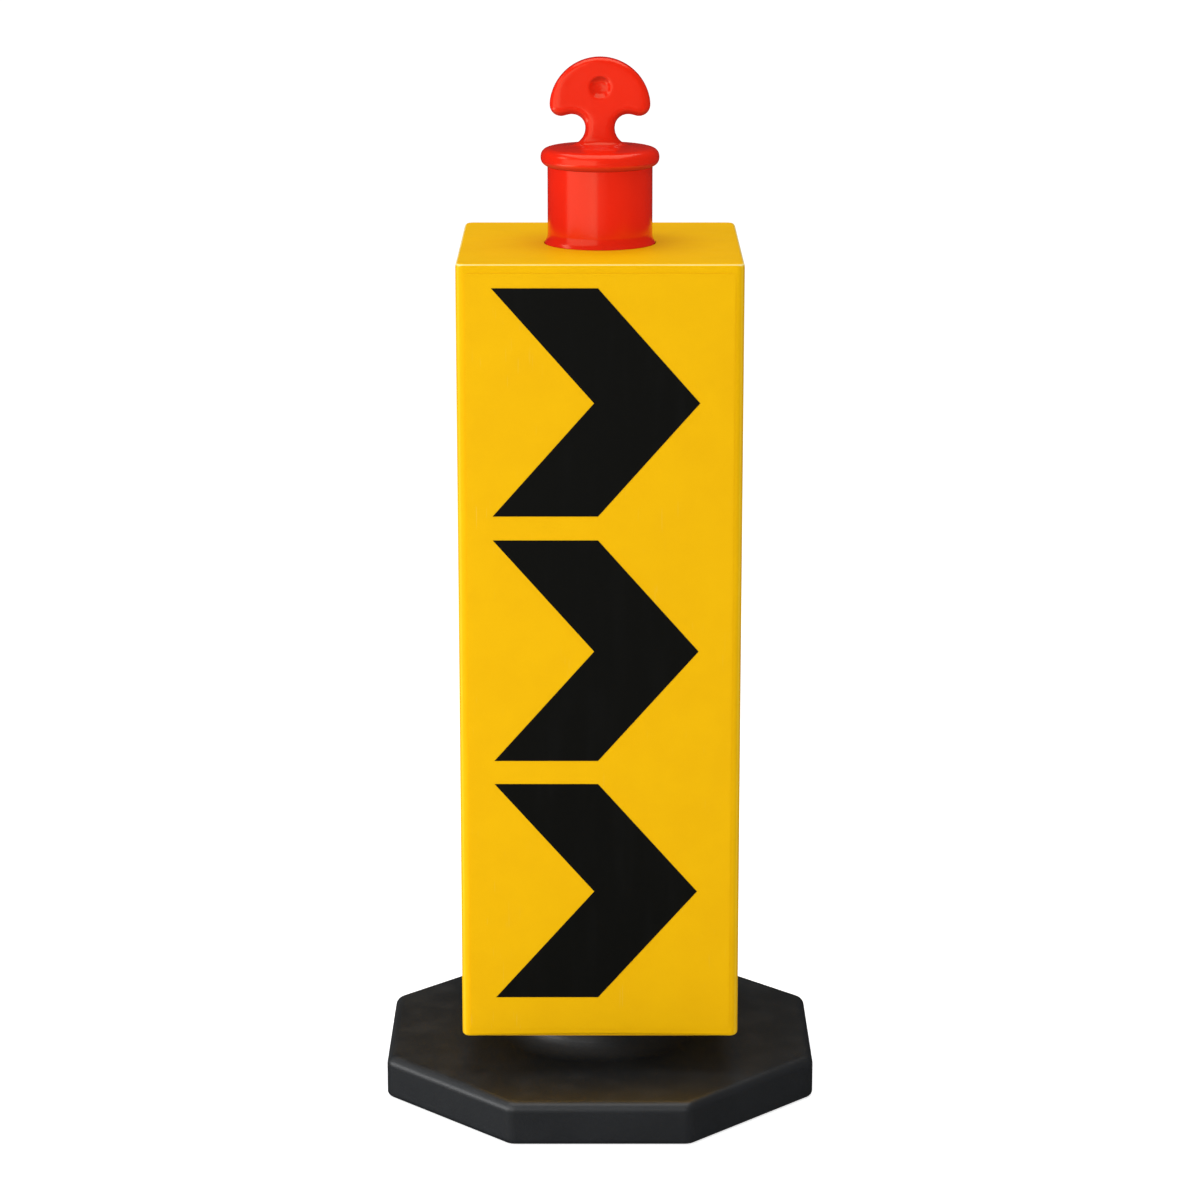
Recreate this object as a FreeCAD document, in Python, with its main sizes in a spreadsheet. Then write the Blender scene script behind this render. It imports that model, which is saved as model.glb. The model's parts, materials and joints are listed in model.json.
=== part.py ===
"""Delineator post: a T-top bollard in a heavy octagonal rubber base, with a square chevron marker sleeve round it.

Millimetres, +Z up. The origin is on the ground, under the post's axis. The front of the post faces -Y.
"""
import FreeCAD, Part
import Sketcher
import math
import os

doc = FreeCAD.newDocument("delineator_post")

# ---------------------------------------------------------------- driving dimensions
# Heights are measured from the ground unless the note says otherwise.
SIZES = [
    # octagonal rubber base
    ("base_width", 456.0, "across the flats"),
    ("base_thick", 46.0, "plate, without the hub"),
    ("base_side_round", 16.0, "eight upright corners"),
    ("base_top_round", 10.0, "top rim"),
    ("base_low_round", 6.0, "bottom rim"),
    ("hub_rise", 38.0, "hub above the plate"),
    ("hub_wall", 19.7, "rubber round the socket at the hub's top"),
    ("hub_flare", 15.0, "hub's foot outside its top"),
    ("hub_foot_round", 22.0, "hollow round between hub and plate"),
    ("hub_top_round", 4.0, ""),
    ("tread_depth", 4.0, "shallow hollows moulded in the underside"),
    ("tread_band", 32.0, "flat band round the underside's rim"),
    ("tread_rib", 16.0, "rib between two hollows"),
    ("tread_core", 24.0, "flat rubber round the flange recess"),
    # lock ring and what holds it in the base
    ("ring_wall", 4.1, ""),
    ("ring_flange_width", 18.0, ""),
    ("ring_flange_thick", 4.0, ""),
    ("ring_recess", 10.0, "height of the flange's underside"),
    ("ring_drop", 1.0, "ring's top below the hub's top"),
    ("ring_seat_gap", 0.3, "ring to rubber, all round"),
    ("ring_lip", 13.0, "inward lip under the post's foot"),
    ("ledge_width", 7.4, "inward from the ring's bore"),
    ("ledge_rise", 12.0, "ledges above the ring's floor"),
    ("ledge_thick", 10.0, ""),
    ("ring_screw_radius", 3.0, ""),
    ("ring_screw_length", 24.0, "shank"),
    ("ring_head_radius", 6.0, ""),
    ("ring_head_high", 4.0, ""),
    ("insert_wall", 2.2, "steel inserts moulded in the rubber"),
    ("insert_length", 26.0, ""),
    # post
    ("stem_radius", 57.5, ""),
    ("stem_wall", 3.5, ""),
    ("stem_bare", 79.5, "from the sleeve's top to the collar"),
    ("flare_over", 0.5, "edge of the flare above the sleeve's top"),
    ("flare_rise", 10.0, "height of the flare between the post and its narrow band"),
    ("flare_step", 3.2, "how much narrower the band's radius is"),
    ("turn_gap", 0.4, "post, bush and floor to the bores that they turn in"),
    ("weld_gap", 0.1, "spigots in the tube"),
    # bayonet foot
    ("foot_gap", 0.3, "foot to the ring's floor"),
    ("foot_lift", 1.0, "foot's shoulder above the ledges"),
    ("foot_neck_gap", 1.0, "neck to the ledges"),
    ("foot_wall", 5.0, ""),
    ("foot_rim", 3.0, "shoulder under the tube's lower end"),
    ("foot_spigot", 45.0, "length inside the tube"),
    ("lug_angle", 40.0, "arc of each lug, degrees"),
    ("lug_lift", 1.9, "lugs above the foot's lower end"),
    ("lug_gap", 0.3, "lug to ledge"),
    ("lug_play", 4.0, "lug in the gap between two ledges, degrees"),
    # T-top
    ("head_rise", 90.5, "T-top above its collar"),
    ("head_radius", 52.3, ""),
    ("lobe_radius", 12.0, ""),
    ("lobe_rise", 3.5, "lobe's centre above the head's centre"),
    ("notch_radius", 14.0, "finger gap under each lobe"),
    ("throat_round", 18.0, "foot of the neck, as far as the neck's height allows"),
    ("neck_width", 30.0, ""),
    ("head_thick", 22.0, ""),
    ("head_round", 7.5, ""),
    ("dimple_drop", 31.0, "dimple's centre below the top"),
    ("dimple_radius", 11.6, ""),
    ("dimple_depth", 4.5, ""),
    ("dimple_round", 1.5, "rim and floor of each dimple"),
    ("collar_over", 4.0, "collar beyond the post"),
    ("collar_thick", 21.0, ""),
    ("collar_top_round", 10.5, ""),
    ("collar_low_round", 8.5, ""),
    ("cap_wall", 4.0, ""),
    ("cap_roof", 8.0, "solid top of the collar"),
    ("cap_spigot", 60.0, "length inside the tube"),
    # guide bush between the post and the sleeve
    ("bush_wall", 4.1, ""),
    ("bush_flange_width", 16.0, ""),
    ("bush_flange_thick", 4.0, ""),
    ("bush_rise", 12.0, "barrel above the sleeve's floor"),
    ("bush_hook", 1.6, "snap hook over the floor"),
    ("bush_hook_gap", 0.3, "hook to floor"),
    ("bush_slot", 5.0, "slots that let the hook spring"),
    # marker sleeve
    ("sleeve_width", 290.0, "square, outside"),
    ("sleeve_height", 821.0, ""),
    ("sleeve_wall", 4.0, ""),
    ("sleeve_round", 9.0, "upright edges"),
    ("sleeve_top_round", 4.5, ""),
    ("sleeve_low_round", 5.0, ""),
    ("hole_gap", 0.7, "post to the hole in the top"),
    ("hole_rim", 14.0, "turned-down rim round the hole"),
    ("lip_width", 22.0, "inward lip that the floor is screwed to"),
    ("lip_thick", 9.0, ""),
    ("floor_thick", 4.0, ""),
    ("floor_gap", 0.5, "floor to the walls"),
    ("screw_inset", 11.0, "floor screws from the wall"),
    ("screw_spread", 200.0, "between the two screws of one side"),
    ("floor_screw_radius", 2.0, ""),
    ("floor_screw_length", 9.0, "shank"),
    ("floor_head_radius", 4.0, ""),
    ("floor_head_high", 2.2, ""),
    ("screw_gap", 0.05, "screws and inserts to their holes"),
    ("drive_part", 0.5, "hexagon socket, as a part of the head's radius and height"),
    # sheeting and chevrons
    ("sheet_thick", 0.5, ""),
    ("sheet_margin", 9.5, "sheet's edge from the face's edge"),
    ("sheet_round", 4.0, ""),
    ("film_thick", 0.4, ""),
    ("chevron_space", 25.0, "between two chevrons"),
    ("chevron_band", 107.0, "level width of an arm"),
    ("chevron_run", 103.0, "level run from an arm's end to the point"),
    ("chevron_shift", -4.0, "middle of the chevrons from the middle of the face"),
    ("chevron_foot", 44.7, "lowest chevron above the sleeve's lower edge"),
    ("chevron_head", 24.5, "highest chevron below the sleeve's upper edge"),
]
BASE_SIDES = 8
LUGS = 3
RING_SCREWS = 4
BUSH_SLOTS = 4
CHEVRON_NAMES = ("lower", "middle", "upper")
CHEVRONS = len(CHEVRON_NAMES)

# Sizes that follow from the ones above, also kept in the sheet.
DERIVED = [
    ("hub_high", "base_thick + hub_rise"),
    ("sleeve_low", "hub_high + bush_flange_thick"),
    ("sleeve_high", "sleeve_low + sleeve_height"),
    ("ring_bore", "stem_radius + turn_gap"),
    ("ring_outer", "ring_bore + ring_wall"),
    ("ring_floor", "ring_recess + ring_flange_thick"),
    ("ring_flange_radius", "ring_outer + ring_flange_width"),
    ("ring_screw_circle", "ring_outer + ring_flange_width / 2"),
    ("seat_radius", "ring_outer + ring_seat_gap"),
    ("hub_top_radius", "seat_radius + hub_wall"),
    ("recess_radius", "ring_flange_radius + ring_seat_gap"),
    ("ledge_inner", "ring_bore - ledge_width"),
    ("ledge_low", "ring_floor + ledge_rise"),
    ("ledge_angle", f"{360 / LUGS} - lug_angle - lug_play"),
    ("stop_angle", "(ledge_angle - lug_angle - lug_play) / 2"),
    ("insert_radius", "ring_screw_radius + screw_gap + insert_wall"),
    ("foot_neck", "ledge_inner - foot_neck_gap"),
    ("tube_bore", "stem_radius - stem_wall"),
    ("band_radius", "stem_radius - flare_step"),
    ("band_bore", "band_radius - stem_wall"),
    ("stem_low", "ledge_low + ledge_thick + foot_lift + foot_rim"),
    ("stem_high", "sleeve_high + stem_bare"),
    ("flare_low", "sleeve_high + flare_over"),
    ("flare_high", "flare_low + flare_rise"),
    ("flare_radius", "(flare_rise^2 + flare_step^2) / 2 / flare_step"),
    ("foot_low", "ring_floor + foot_gap"),
    ("lug_thick", "ledge_low - lug_gap - foot_low - lug_lift"),
    ("foot_spigot_radius", "tube_bore - weld_gap"),
    ("cap_spigot_radius", "band_bore - weld_gap"),
    ("collar_high", "stem_high + collar_thick"),
    ("collar_radius", "stem_radius + collar_over"),
    ("top_height", "collar_high + head_rise"),
    ("bush_bore", "stem_radius + turn_gap"),
    ("bush_outer", "bush_bore + bush_wall"),
    ("floor_high", "sleeve_low + floor_thick"),
    ("lip_high", "floor_high + lip_thick"),
    ("sleeve_inside", "sleeve_width - 2 * sleeve_wall"),
    ("hole_radius", "stem_radius + hole_gap"),
    ("floor_hole", "bush_outer + turn_gap"),
    ("screw_place", "sleeve_inside / 2 - screw_inset"),
    ("head_centre", "top_height - head_radius"),
    ("lobe_x", "sqrt((head_radius - lobe_radius)^2 - lobe_rise^2)"),
    ("lobe_z", "head_centre + lobe_rise"),
    ("notch_x", "neck_width / 2 + notch_radius"),
    ("notch_z", "lobe_z - sqrt((notch_radius + lobe_radius)^2 - (lobe_x - notch_x)^2)"),
    ("throat_radius", "min(throat_round; notch_z - collar_high - 0.1)"),
    ("chevron_height", f"(sleeve_height - chevron_foot - chevron_head - {CHEVRONS - 1} * chevron_space) / {CHEVRONS}"),
]

sizes = doc.addObject("Spreadsheet::Sheet", "sizes")
ALIASES = {alias for alias, *_ in SIZES} | {alias for alias, _ in DERIVED}
for row, (alias, value, note) in enumerate(SIZES, start=1):
    sizes.set(f"A{row}", alias)
    sizes.set(f"B{row}", str(value))
    sizes.set(f"C{row}", note)
    sizes.setAlias(f"B{row}", alias)
for row, (alias, formula) in enumerate(DERIVED, start=len(SIZES) + 1):
    sizes.set(f"A{row}", alias)
    sizes.set(f"B{row}", f"={formula}")
    sizes.setAlias(f"B{row}", alias)
doc.recompute()


def bind(formula):
    """A formula of sheet names, written as an expression that another object can use."""
    out, word = "", ""
    for letter in formula + " ":
        if letter.isalnum() or letter in "_.":
            word += letter
            continue
        out += (f"sizes.{word}" if word in ALIASES else word) + letter
        word = ""
    return out.strip()


def worth(formula):
    """The number that a formula of sheet names gives."""
    value = sizes.evalExpression(bind(formula))
    return float(getattr(value, "Value", value))


# ---------------------------------------------------------------- helpers
def new_body(label):
    body = doc.addObject("PartDesign::Body", label)
    body.Label = label
    return body


def new_sketch(body, name, role="XY_Plane", height=None):
    """A sketch on one of the body's own planes, raised along the plane's normal."""
    plane = next(part for part in body.Origin.OriginFeatures if part.Role == role)
    sketch = body.newObject("Sketcher::SketchObject", f"{body.Name}_{name}")
    sketch.AttachmentSupport = [(plane, "")]
    sketch.MapMode = "FlatFace"
    if height:
        sketch.setExpression("AttachmentOffset.Base.z", bind(height))
    return sketch


def pin(sketch, kind, formula, *where):
    """A dimension of the sketch that follows a formula."""
    index = sketch.addConstraint(Sketcher.Constraint(kind, *where, worth(formula)))
    sketch.setExpression(f"Constraints[{index}]", bind(formula))


def pin_point(sketch, geometry, point, x, y):
    pin(sketch, "DistanceX", x, -1, 1, geometry, point)
    pin(sketch, "DistanceY", y, -1, 1, geometry, point)


def circle(sketch, radius, x="0", y="0"):
    centre = FreeCAD.Vector(worth(x), worth(y), 0)
    index = sketch.addGeometry(Part.Circle(centre, FreeCAD.Vector(0, 0, 1), worth(radius)), False)
    pin_point(sketch, index, 3, x, y)
    pin(sketch, "Radius", radius, index)


def outline(sketch, corners):
    """A closed outline. Each corner is (x, y), or (x, y, radius, turn) where an arc runs on to the next corner;
    turn is 1 for an arc that runs anticlockwise and -1 for one that runs clockwise."""
    points = [FreeCAD.Vector(worth(x), worth(y), 0) for x, y, *_ in corners]
    starts, ends = [], []
    for index, corner in enumerate(corners):
        start, end = points[index], points[(index + 1) % len(points)]
        if len(corner) == 2:
            piece = sketch.addGeometry(Part.LineSegment(start, end), False)
            starts.append((piece, 1))
            ends.append((piece, 2))
            continue
        radius, turn = worth(corner[2]), corner[3]
        chord = end - start
        side = FreeCAD.Vector(-chord.y, chord.x, 0).normalize() * turn
        centre = (start + end) * 0.5 + side * math.sqrt(max(radius ** 2 - chord.Length ** 2 / 4, 0))
        angles = [math.atan2(p.y - centre.y, p.x - centre.x) for p in (start, end)[::turn]]
        ring = Part.Circle(centre, FreeCAD.Vector(0, 0, 1), radius)
        piece = sketch.addGeometry(Part.ArcOfCircle(ring, *angles), False)
        starts.append((piece, 1 if turn > 0 else 2))
        ends.append((piece, 2 if turn > 0 else 1))
    for index, corner in enumerate(corners):
        sketch.addConstraint(Sketcher.Constraint("Coincident", *ends[index - 1], *starts[index]))
        pin_point(sketch, *starts[index], corner[0], corner[1])
        if len(corner) > 2:
            pin(sketch, "Radius", corner[2], starts[index][0])


def rectangle(sketch, half_x, half_y, middle_y="0"):
    low, high = f"{middle_y} - ({half_y})", f"{middle_y} + ({half_y})"
    outline(sketch, [(f"-({half_x})", low), (half_x, low), (half_x, high), (f"-({half_x})", high)])


def sector(sketch, inner, outer, start, end):
    """A piece of a ring between two angles, both in degrees, anticlockwise from +X."""
    def at(radius, angle):
        return f"({radius}) * cos(({angle}) * 1deg)", f"({radius}) * sin(({angle}) * 1deg)"
    outline(sketch, [(*at(outer, start), outer, 1), at(outer, end), (*at(inner, end), inner, -1), at(inner, start)])


def extrude(body, kind, sketch, length, name, down=False, middle=False):
    """A Pad or Pocket of a sketch. A pad grows along the sketch's normal and a pocket cuts along it."""
    feature = body.newObject(f"PartDesign::{kind}", f"{body.Name}_{name}")
    feature.Profile = sketch
    feature.Type = 0
    feature.setExpression("Length", bind(length))
    feature.Midplane = middle
    feature.Reversed = down if kind == "Pad" else not down
    return settle(body, feature, kind == "Pad")


def spin(body, kind, sketch, name):
    """A Revolution or Groove of a sketch round the upright axis."""
    feature = body.newObject(f"PartDesign::{kind}", f"{body.Name}_{name}")
    feature.Profile = sketch
    feature.ReferenceAxis = (sketch, ["V_Axis"])
    feature.Angle = 360
    return settle(body, feature, kind == "Revolution")


def settle(body, feature, adds):
    """Recompute one feature and make sure that it really added or cut something."""
    before = feature.BaseFeature.Shape.Volume if feature.BaseFeature else 0.0
    body.Tip = feature
    doc.recompute()
    change = feature.Shape.Volume - before
    if (change > 0) != adds or abs(change) < 1e-3:
        raise RuntimeError(f"{feature.Name} changed the volume by {change:.4f}")
    return feature


def around(body, features, count, name):
    """Copies of features round the upright axis."""
    pattern = body.newObject("PartDesign::PolarPattern", f"{body.Name}_{name}")
    pattern.Originals = features
    pattern.Axis = (next(part for part in body.Origin.OriginFeatures if part.Role == "Z_Axis"), [""])
    pattern.Angle = 360
    pattern.Occurrences = count
    body.Tip = pattern
    doc.recompute()
    return pattern


def soften(body, base, radius, test, name):
    """A round on the edges of the base feature that pass the test."""
    picked = [f"Edge{number}" for number, edge in enumerate(base.Shape.Edges, start=1) if test(edge)]
    feature = body.newObject("PartDesign::Fillet", f"{body.Name}_{name}")
    feature.Base = (base, picked)
    feature.setExpression("Radius", bind(radius))
    body.Tip = feature
    doc.recompute()
    return feature


def near(value, formula, slack=1e-3):
    return abs(value - worth(formula)) < slack


def level(edge, formula):
    """Whether an edge lies flat at one height."""
    return near(edge.BoundBox.ZMin, formula) and near(edge.BoundBox.ZMax, formula)


def upright(edge):
    return edge.BoundBox.XLength < 1e-3 and edge.BoundBox.YLength < 1e-3


def is_circle(edge):
    return edge.isClosed()


def span(edge):
    """Distance of an edge's middle from the upright axis."""
    middle = edge.valueAt((edge.FirstParameter + edge.LastParameter) / 2)
    return math.hypot(middle.x, middle.y)


# ---------------------------------------------------------------- rubber base
def make_rubber_base():
    body = new_body("rubber_base")
    half = "base_width / 2"
    cut = f"{half} * tan(22.5deg)"
    plan = new_sketch(body, "plan")
    outline(plan, [
        (f"-{cut}", f"-{half}"), (cut, f"-{half}"), (half, f"-{cut}"), (half, cut),
        (cut, half), (f"-{cut}", half), (f"-{half}", cut), (f"-{half}", f"-{cut}")])
    plate = extrude(body, "Pad", plan, "base_thick", "plate")
    plate = soften(body, plate, "base_side_round", upright, "corners")
    plate = soften(body, plate, "base_top_round", lambda edge: level(edge, "base_thick"), "top_rim")
    plate = soften(body, plate, "base_low_round", lambda edge: level(edge, "0"), "low_rim")

    hub = new_sketch(body, "hub_section", "XZ_Plane")
    outline(hub, [
        ("0", "base_thick / 2"), ("hub_top_radius + hub_flare", "base_thick / 2"),
        ("hub_top_radius + hub_flare", "base_thick"), ("hub_top_radius", "hub_high"), ("0", "hub_high")])
    hub = spin(body, "Revolution", hub, "hub")
    hub = soften(body, hub, "hub_foot_round",
                 lambda edge: level(edge, "base_thick") and near(span(edge), "hub_top_radius + hub_flare"), "hub_foot")
    hub = soften(body, hub, "hub_top_round", lambda edge: level(edge, "hub_high"), "hub_rim")

    socket = new_sketch(body, "socket_section", "XZ_Plane")
    outline(socket, [
        ("0", "0"), ("recess_radius", "0"), ("recess_radius", "ring_floor"), ("seat_radius", "ring_floor"),
        ("seat_radius", "hub_high + 1"), ("0", "hub_high + 1")])
    spin(body, "Groove", socket, "socket")

    insert = new_sketch(body, "insert_plan", height="ring_floor")
    circle(insert, "insert_radius + screw_gap", x="ring_screw_circle")
    insert = extrude(body, "Pocket", insert, "insert_length + ring_seat_gap", "insert_hole")
    around(body, [insert], RING_SCREWS, "insert_holes")

    near_edge = "(recess_radius + tread_core)"
    far_edge = f"({half} - tread_band)"
    shape = "tan(22.5deg)", "tread_rib / 2 / cos(22.5deg)"
    near_half = f"({near_edge} * {shape[0]} - {shape[1]})"
    far_half = f"({far_edge} * {shape[0]} - {shape[1]})"
    tread = new_sketch(body, "tread_plan")
    outline(tread, [
        (f"-{near_half}", f"-{near_edge}"), (f"-{far_half}", f"-{far_edge}"),
        (far_half, f"-{far_edge}"), (near_half, f"-{near_edge}")])
    tread = extrude(body, "Pocket", tread, "tread_depth", "tread")
    around(body, [tread], BASE_SIDES, "treads")
    return body


# ---------------------------------------------------------------- lock ring, its screws and their inserts
def make_lock_ring():
    body = new_body("lock_ring")
    section = new_sketch(body, "section", "XZ_Plane")
    top = "hub_high - ring_drop"
    outline(section, [
        ("ring_bore - ring_lip", "ring_recess"), ("ring_flange_radius", "ring_recess"),
        ("ring_flange_radius", "ring_floor"), ("ring_outer", "ring_floor"), ("ring_outer", top),
        ("ring_bore", top), ("ring_bore", "ring_floor"), ("ring_bore - ring_lip", "ring_floor")])
    spin(body, "Revolution", section, "ring")

    # The ledges point at -X, 60 and -60 degrees; the stop under each ledge is at its clockwise end.
    bite = "ring_bore + ring_wall / 2"
    ledge = new_sketch(body, "ledge_plan", height="ledge_low")
    sector(ledge, "ledge_inner", bite, "180 - ledge_angle / 2", "180 + ledge_angle / 2")
    ledge = extrude(body, "Pad", ledge, "ledge_thick", "ledge")
    stop = new_sketch(body, "stop_plan", height="ring_recess + ring_flange_thick / 2")
    sector(stop, "ledge_inner", bite, "180 - ledge_angle / 2", "180 - ledge_angle / 2 + stop_angle")
    stop = extrude(body, "Pad", stop, "ledge_low - ring_recess", "stop")
    around(body, [ledge, stop], LUGS, "ledges")

    hole = new_sketch(body, "hole_plan", height="ring_recess")
    circle(hole, "ring_screw_radius + screw_gap", x="ring_screw_circle")
    hole = extrude(body, "Pocket", hole, "ring_flange_thick", "hole")
    around(body, [hole], RING_SCREWS, "holes")
    return body


def make_screws(label, count, x, y, head_low, head_radius, head_high, shank_radius, shank_length):
    """Socket-head screws driven upward: the drive is in the underside of each head."""
    body = new_body(label)
    body.AllowCompound = True
    head = new_sketch(body, "head_plan", height=head_low)
    for place in x:
        circle(head, head_radius, x=place, y=y)
    head = extrude(body, "Pad", head, head_high, "head")
    shank = new_sketch(body, "shank_plan", height=f"{head_low} + {head_high}")
    for place in x:
        circle(shank, shank_radius, x=place, y=y)
    shank = extrude(body, "Pad", shank, shank_length, "shank")
    drive = new_sketch(body, "drive_plan", height=head_low)
    across = f"{head_radius} * drive_part"
    for place in x:
        outline(drive, [
            (f"{place} + {across} * cos({turn}deg)", f"{y} + {across} * sin({turn}deg)") for turn in range(0, 360, 60)])
    drive = extrude(body, "Pocket", drive, f"{head_high} * drive_part", "drive")
    around(body, [head, shank, drive], count, "all")
    return body


def make_inserts():
    body = new_body("lock_ring_inserts")
    body.AllowCompound = True
    plan = new_sketch(body, "plan", height="ring_floor")
    circle(plan, "insert_radius", x="ring_screw_circle")
    circle(plan, "ring_screw_radius + screw_gap", x="ring_screw_circle")
    insert = extrude(body, "Pad", plan, "insert_length", "insert")
    around(body, [insert], RING_SCREWS, "all")
    return body


# ---------------------------------------------------------------- post
def make_stem_tube():
    body = new_body("stem_tube")
    section = new_sketch(body, "section", "XZ_Plane")
    outline(section, [
        ("tube_bore", "stem_low"), ("stem_radius", "stem_low"), ("stem_radius", "flare_low", "flare_radius", -1),
        ("band_radius", "flare_high"), ("band_radius", "stem_high"), ("band_bore", "stem_high"),
        ("band_bore", "flare_high"), ("tube_bore", "flare_low")])
    spin(body, "Revolution", section, "tube")
    return body


def make_bayonet_foot():
    body = new_body("bayonet_foot")
    section = new_sketch(body, "section", "XZ_Plane")
    bore = "foot_neck - foot_wall"
    spigot_bore = "foot_spigot_radius - foot_wall"
    outline(section, [
        ("0", "foot_low"), ("foot_neck", "foot_low"), ("foot_neck", "stem_low - foot_rim"),
        ("stem_radius", "stem_low - foot_rim"), ("stem_radius", "stem_low"), ("foot_spigot_radius", "stem_low"),
        ("foot_spigot_radius", "stem_low + foot_spigot"), (spigot_bore, "stem_low + foot_spigot"),
        (spigot_bore, "stem_low + foot_wall"), (bore, "stem_low"), (bore, "foot_low + foot_wall"),
        ("0", "foot_low + foot_wall")])
    spin(body, "Revolution", section, "foot")
    lug = new_sketch(body, "lug_plan", height="ledge_low - lug_gap")
    sector(lug, "foot_neck - foot_wall / 2", "stem_radius", "180 - lug_angle / 2", "180 + lug_angle / 2")
    lug = extrude(body, "Pad", lug, "lug_thick", "lug", down=True)
    around(body, [lug], LUGS, "lugs")
    return body


def make_t_top():
    body = new_body("t_top")
    # Head, lobes, finger gaps and neck: arcs that meet tangentially, down to a root inside the collar.
    span_x, span_z = "lobe_x / (head_radius - lobe_radius)", "lobe_rise / (head_radius - lobe_radius)"
    tip_x, tip_z = f"head_radius * {span_x}", f"head_centre + head_radius * {span_z}"
    share = "notch_radius / (notch_radius + lobe_radius)"
    bend_x = f"notch_x + (lobe_x - notch_x) * {share}"
    bend_z = f"notch_z + (lobe_z - notch_z) * {share}"
    neck, root = "neck_width / 2", "collar_high - cap_roof / 2"
    foot_x = "neck_width / 2 + throat_radius"
    profile = new_sketch(body, "head_outline", "XZ_Plane")
    outline(profile, [
        (tip_x, tip_z, "head_radius", 1),
        (f"-({tip_x})", tip_z, "lobe_radius", 1),
        (f"-({bend_x})", bend_z, "notch_radius", -1),
        (f"-{neck}", "notch_z"), (f"-{neck}", "collar_high + throat_radius", "throat_radius", -1),
        (f"-({foot_x})", "collar_high"), (f"-({foot_x})", root), (foot_x, root),
        (foot_x, "collar_high", "throat_radius", -1), (neck, "collar_high + throat_radius"),
        (neck, "notch_z", "notch_radius", -1),
        (bend_x, bend_z, "lobe_radius", 1)])
    head = extrude(body, "Pad", profile, "head_thick", "head", middle=True)
    for side, plane, down in (("front", "head_thick / 2", False), ("rear", "-head_thick / 2", True)):
        dimple = new_sketch(body, f"dimple_{side}", "XZ_Plane", plane)
        circle(dimple, "dimple_radius", y="top_height - dimple_drop")
        head = extrude(body, "Pocket", dimple, "dimple_depth", f"dimple_{side}_cut", down=not down)

    def on_rim(edge):
        box = edge.BoundBox
        flat = box.YLength < 1e-3 and near(abs(box.YMin), "head_thick / 2")
        return flat and box.ZMax > worth("collar_high") + 0.01 and box.ZMin > worth("collar_high") - 0.01
    head = soften(body, head, "head_round", lambda edge: on_rim(edge) and not is_circle(edge), "head_edges")
    head = soften(body, head, "dimple_round", is_circle, "dimple_edges")

    section = new_sketch(body, "section", "XZ_Plane")
    inside = "cap_spigot_radius - cap_wall"
    outline(section, [
        ("0", "collar_high - cap_roof"), (inside, "collar_high - cap_roof"), (inside, "stem_high - cap_spigot"),
        ("cap_spigot_radius", "stem_high - cap_spigot"), ("cap_spigot_radius", "stem_high"),
        ("collar_radius - collar_low_round", "stem_high", "collar_low_round", 1),
        ("collar_radius", "stem_high + collar_low_round"),
        ("collar_radius", "collar_high - collar_top_round", "collar_top_round", 1),
        ("collar_radius - collar_top_round", "collar_high"), ("0", "collar_high")])
    spin(body, "Revolution", section, "collar")
    return body


# ---------------------------------------------------------------- guide bush
def make_guide_bush():
    body = new_body("guide_bush")
    section = new_sketch(body, "section", "XZ_Plane")
    hook = "floor_high + bush_hook_gap"
    top = "floor_high + bush_rise"
    outline(section, [
        ("bush_bore", "hub_high"), ("bush_outer + bush_flange_width", "hub_high"),
        ("bush_outer + bush_flange_width", "sleeve_low"), ("bush_outer", "sleeve_low"), ("bush_outer", hook),
        ("bush_outer + bush_hook", hook), ("bush_outer + bush_hook", f"{hook} + bush_hook"),
        ("bush_outer - bush_hook", top), ("bush_bore", top)])
    spin(body, "Revolution", section, "barrel")
    slot = new_sketch(body, "slot_plan", height="floor_high")
    outline(slot, [
        ("bush_bore - 2", "-bush_slot / 2"), ("bush_outer + bush_hook + 2", "-bush_slot / 2"),
        ("bush_outer + bush_hook + 2", "bush_slot / 2"), ("bush_bore - 2", "bush_slot / 2")])
    slot = extrude(body, "Pocket", slot, "bush_rise + 1", "slot")
    around(body, [slot], BUSH_SLOTS, "slots")
    return body


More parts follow.
